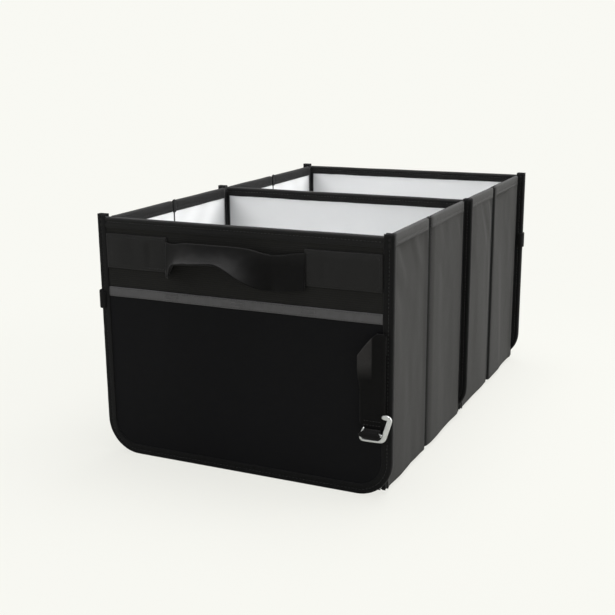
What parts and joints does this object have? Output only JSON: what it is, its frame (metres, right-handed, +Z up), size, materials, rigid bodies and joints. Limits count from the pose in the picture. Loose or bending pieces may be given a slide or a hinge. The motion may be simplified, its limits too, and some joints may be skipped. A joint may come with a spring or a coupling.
{
  "type": "collapsible storage crate",
  "caption": "Fabric storage crate with stiffened walls, a divider, webbing handles and a closure strap, whose side walls and floor fold in so that the end boards close flat.",
  "frame": {"origin": "on the ground under the middle of the divider, at the bottom centre of the open crate", "axes": "+X to the right seen from the front board, +Y from the front board to the rear board, +Z up"},
  "size_m": [0.3268, 0.5286, 0.252],
  "materials": {
    "outer_fabric": "matt black polyester with a fine rib",
    "lining_fabric": "pale grey woven lining",
    "binding_tape": "black grosgrain tape",
    "webbing": "black woven webbing",
    "reflective_tape": "grey retroreflective tape",
    "stiffener_board": "grey hard board",
    "floor_cloth": "black base fabric",
    "hook_metal": "satin bright metal"
  },
  "bodies": {
    "divider": {"divider_binding": "binding_tape", "divider_core": "stiffener_board", "divider_front_lining": "lining_fabric", "divider_rear_lining": "lining_fabric"},
    "front_board": {"front_board_binding": "binding_tape", "front_board_core": "stiffener_board", "front_board_cover": "outer_fabric", "front_board_lining": "lining_fabric", "front_handle_tails": "webbing", "front_reflective_strip": "reflective_tape", "front_closure_tab": "webbing"},
    "front_left_outer": {"front_left_outer_cover": "outer_fabric", "front_left_outer_lining": "lining_fabric", "front_left_outer_stiffener": "stiffener_board"},
    "front_left_inner": {"front_left_inner_cover": "outer_fabric", "front_left_inner_lining": "lining_fabric", "front_left_inner_stiffener": "stiffener_board"},
    "front_right_outer": {"front_right_outer_cover": "outer_fabric", "front_right_outer_lining": "lining_fabric", "front_right_outer_stiffener": "stiffener_board"},
    "front_right_inner": {"front_right_inner_cover": "outer_fabric", "front_right_inner_lining": "lining_fabric", "front_right_inner_stiffener": "stiffener_board"},
    "front_floor_outer": {"front_floor_outer_board": "stiffener_board", "front_floor_outer_cloth": "floor_cloth", "front_pull_loop": "webbing"},
    "front_floor_inner": {"front_floor_inner_board": "stiffener_board", "front_floor_inner_cloth": "floor_cloth"},
    "front_grip": {"front_handle_grip": "webbing"},
    "front_strap": {"front_closure_strap": "webbing"},
    "front_hook": {"front_closure_hook": "hook_metal"},
    "rear_board": {"rear_board_binding": "binding_tape", "rear_board_core": "stiffener_board", "rear_board_cover": "outer_fabric", "rear_board_lining": "lining_fabric", "rear_handle_tails": "webbing", "rear_reflective_strip": "reflective_tape", "rear_closure_tab": "webbing"},
    "rear_left_outer": {"rear_left_outer_cover": "outer_fabric", "rear_left_outer_lining": "lining_fabric", "rear_left_outer_stiffener": "stiffener_board"},
    "rear_left_inner": {"rear_left_inner_cover": "outer_fabric", "rear_left_inner_lining": "lining_fabric", "rear_left_inner_stiffener": "stiffener_board"},
    "rear_right_outer": {"rear_right_outer_cover": "outer_fabric", "rear_right_outer_lining": "lining_fabric", "rear_right_outer_stiffener": "stiffener_board"},
    "rear_right_inner": {"rear_right_inner_cover": "outer_fabric", "rear_right_inner_lining": "lining_fabric", "rear_right_inner_stiffener": "stiffener_board"},
    "rear_floor_outer": {"rear_floor_outer_board": "stiffener_board", "rear_floor_outer_cloth": "floor_cloth", "rear_pull_loop": "webbing"},
    "rear_floor_inner": {"rear_floor_inner_board": "stiffener_board", "rear_floor_inner_cloth": "floor_cloth"},
    "rear_grip": {"rear_handle_grip": "webbing"},
    "rear_strap": {"rear_closure_strap": "webbing"},
    "rear_hook": {"rear_closure_hook": "hook_metal"}
  },
  "joints": [
    {"name": "front_fold", "type": "hinge", "parent": "divider", "child": "front_right_inner", "pos_m": [0.1476, -0.0084, 0.128], "axis": [0, 0, -1], "range_deg": [0, 90]},
    {"name": "front_right_crease", "type": "hinge", "parent": "front_right_inner", "child": "front_right_outer", "pos_m": [0.1523, -0.1232, 0.128], "axis": [0, 0, 1], "range_deg": [0, 180]},
    {"name": "front_right_board_hinge", "type": "hinge", "parent": "front_right_outer", "child": "front_board", "pos_m": [0.1476, -0.238, 0.128], "axis": [0, 0, -1], "range_deg": [0, 90]},
    {"name": "front_left_board_hinge", "type": "hinge", "parent": "front_board", "child": "front_left_outer", "pos_m": [-0.1476, -0.238, 0.128], "axis": [0, 0, -1], "range_deg": [0, 90]},
    {"name": "front_left_divider_hinge", "type": "hinge", "parent": "divider", "child": "front_left_inner", "pos_m": [-0.1476, -0.0084, 0.128], "axis": [0, 0, 1], "range_deg": [0, 90]},
    {"name": "front_floor_outer_hinge", "type": "hinge", "parent": "front_board", "child": "front_floor_outer", "pos_m": [0, -0.2425, 0.008], "axis": [1, 0, 0], "range_deg": [0, 90], "deforming": ["front_floor_outer_cloth", "front_pull_loop"]},
    {"name": "front_floor_inner_hinge", "type": "hinge", "parent": "divider", "child": "front_floor_inner", "pos_m": [0, -0.0039, 0.008], "axis": [-1, 0, 0], "range_deg": [0, 90], "deforming": ["front_floor_inner_cloth"]},
    {"name": "front_grip_pull", "type": "slide", "parent": "front_board", "child": "front_grip", "axis": [0, -1, 0], "range_m": [0, 0.018]},
    {"name": "front_strap_swing", "type": "hinge", "parent": "front_board", "child": "front_strap", "pos_m": [0.149, -0.2533, 0.155], "axis": [0, -1, 0], "range_deg": [0, 90]},
    {"name": "front_hook_turn", "type": "hinge", "parent": "front_strap", "child": "front_hook", "pos_m": [0.1425, -0.2575, 0.066], "axis": [1, 0, 0], "range_deg": [0, 90], "stiffness_Nm_per_rad": 0.05},
    {"name": "rear_fold", "type": "hinge", "parent": "divider", "child": "rear_right_inner", "pos_m": [0.1476, 0.0084, 0.128], "axis": [0, 0, 1], "range_deg": [0, 90]},
    {"name": "rear_right_crease", "type": "hinge", "parent": "rear_right_inner", "child": "rear_right_outer", "pos_m": [0.1523, 0.1232, 0.128], "axis": [0, 0, -1], "range_deg": [0, 180]},
    {"name": "rear_right_board_hinge", "type": "hinge", "parent": "rear_right_outer", "child": "rear_board", "pos_m": [0.1476, 0.238, 0.128], "axis": [0, 0, 1], "range_deg": [0, 90]},
    {"name": "rear_left_board_hinge", "type": "hinge", "parent": "rear_board", "child": "rear_left_outer", "pos_m": [-0.1476, 0.238, 0.128], "axis": [0, 0, 1], "range_deg": [0, 90]},
    {"name": "rear_left_divider_hinge", "type": "hinge", "parent": "divider", "child": "rear_left_inner", "pos_m": [-0.1476, 0.0084, 0.128], "axis": [0, 0, -1], "range_deg": [0, 90]},
    {"name": "rear_floor_outer_hinge", "type": "hinge", "parent": "rear_board", "child": "rear_floor_outer", "pos_m": [0, 0.2425, 0.008], "axis": [-1, 0, 0], "range_deg": [0, 90], "deforming": ["rear_floor_outer_cloth", "rear_pull_loop"]},
    {"name": "rear_floor_inner_hinge", "type": "hinge", "parent": "divider", "child": "rear_floor_inner", "pos_m": [0, 0.0039, 0.008], "axis": [1, 0, 0], "range_deg": [0, 90], "deforming": ["rear_floor_inner_cloth"]},
    {"name": "rear_grip_pull", "type": "slide", "parent": "rear_board", "child": "rear_grip", "axis": [0, 1, 0], "range_m": [0, 0.018]},
    {"name": "rear_strap_swing", "type": "hinge", "parent": "rear_board", "child": "rear_strap", "pos_m": [-0.149, 0.2533, 0.155], "axis": [0, 1, 0], "range_deg": [0, 90]},
    {"name": "rear_hook_turn", "type": "hinge", "parent": "rear_strap", "child": "rear_hook", "pos_m": [-0.1425, 0.2575, 0.066], "axis": [-1, 0, 0], "range_deg": [0, 90], "stiffness_Nm_per_rad": 0.05}
  ],
  "couplings": [
    {"joint": "front_right_crease", "follows": "front_fold", "ratio": 2},
    {"joint": "front_right_board_hinge", "follows": "front_fold", "ratio": 1},
    {"joint": "front_left_board_hinge", "follows": "front_fold", "ratio": 1},
    {"joint": "front_left_divider_hinge", "follows": "front_fold", "ratio": 1},
    {"joint": "front_floor_outer_hinge", "follows": "front_fold", "ratio": 1},
    {"joint": "front_floor_inner_hinge", "follows": "front_fold", "ratio": 1},
    {"joint": "rear_right_crease", "follows": "rear_fold", "ratio": 2},
    {"joint": "rear_right_board_hinge", "follows": "rear_fold", "ratio": 1},
    {"joint": "rear_left_board_hinge", "follows": "rear_fold", "ratio": 1},
    {"joint": "rear_left_divider_hinge", "follows": "rear_fold", "ratio": 1},
    {"joint": "rear_floor_outer_hinge", "follows": "rear_fold", "ratio": 1},
    {"joint": "rear_floor_inner_hinge", "follows": "rear_fold", "ratio": 1}
  ]
}
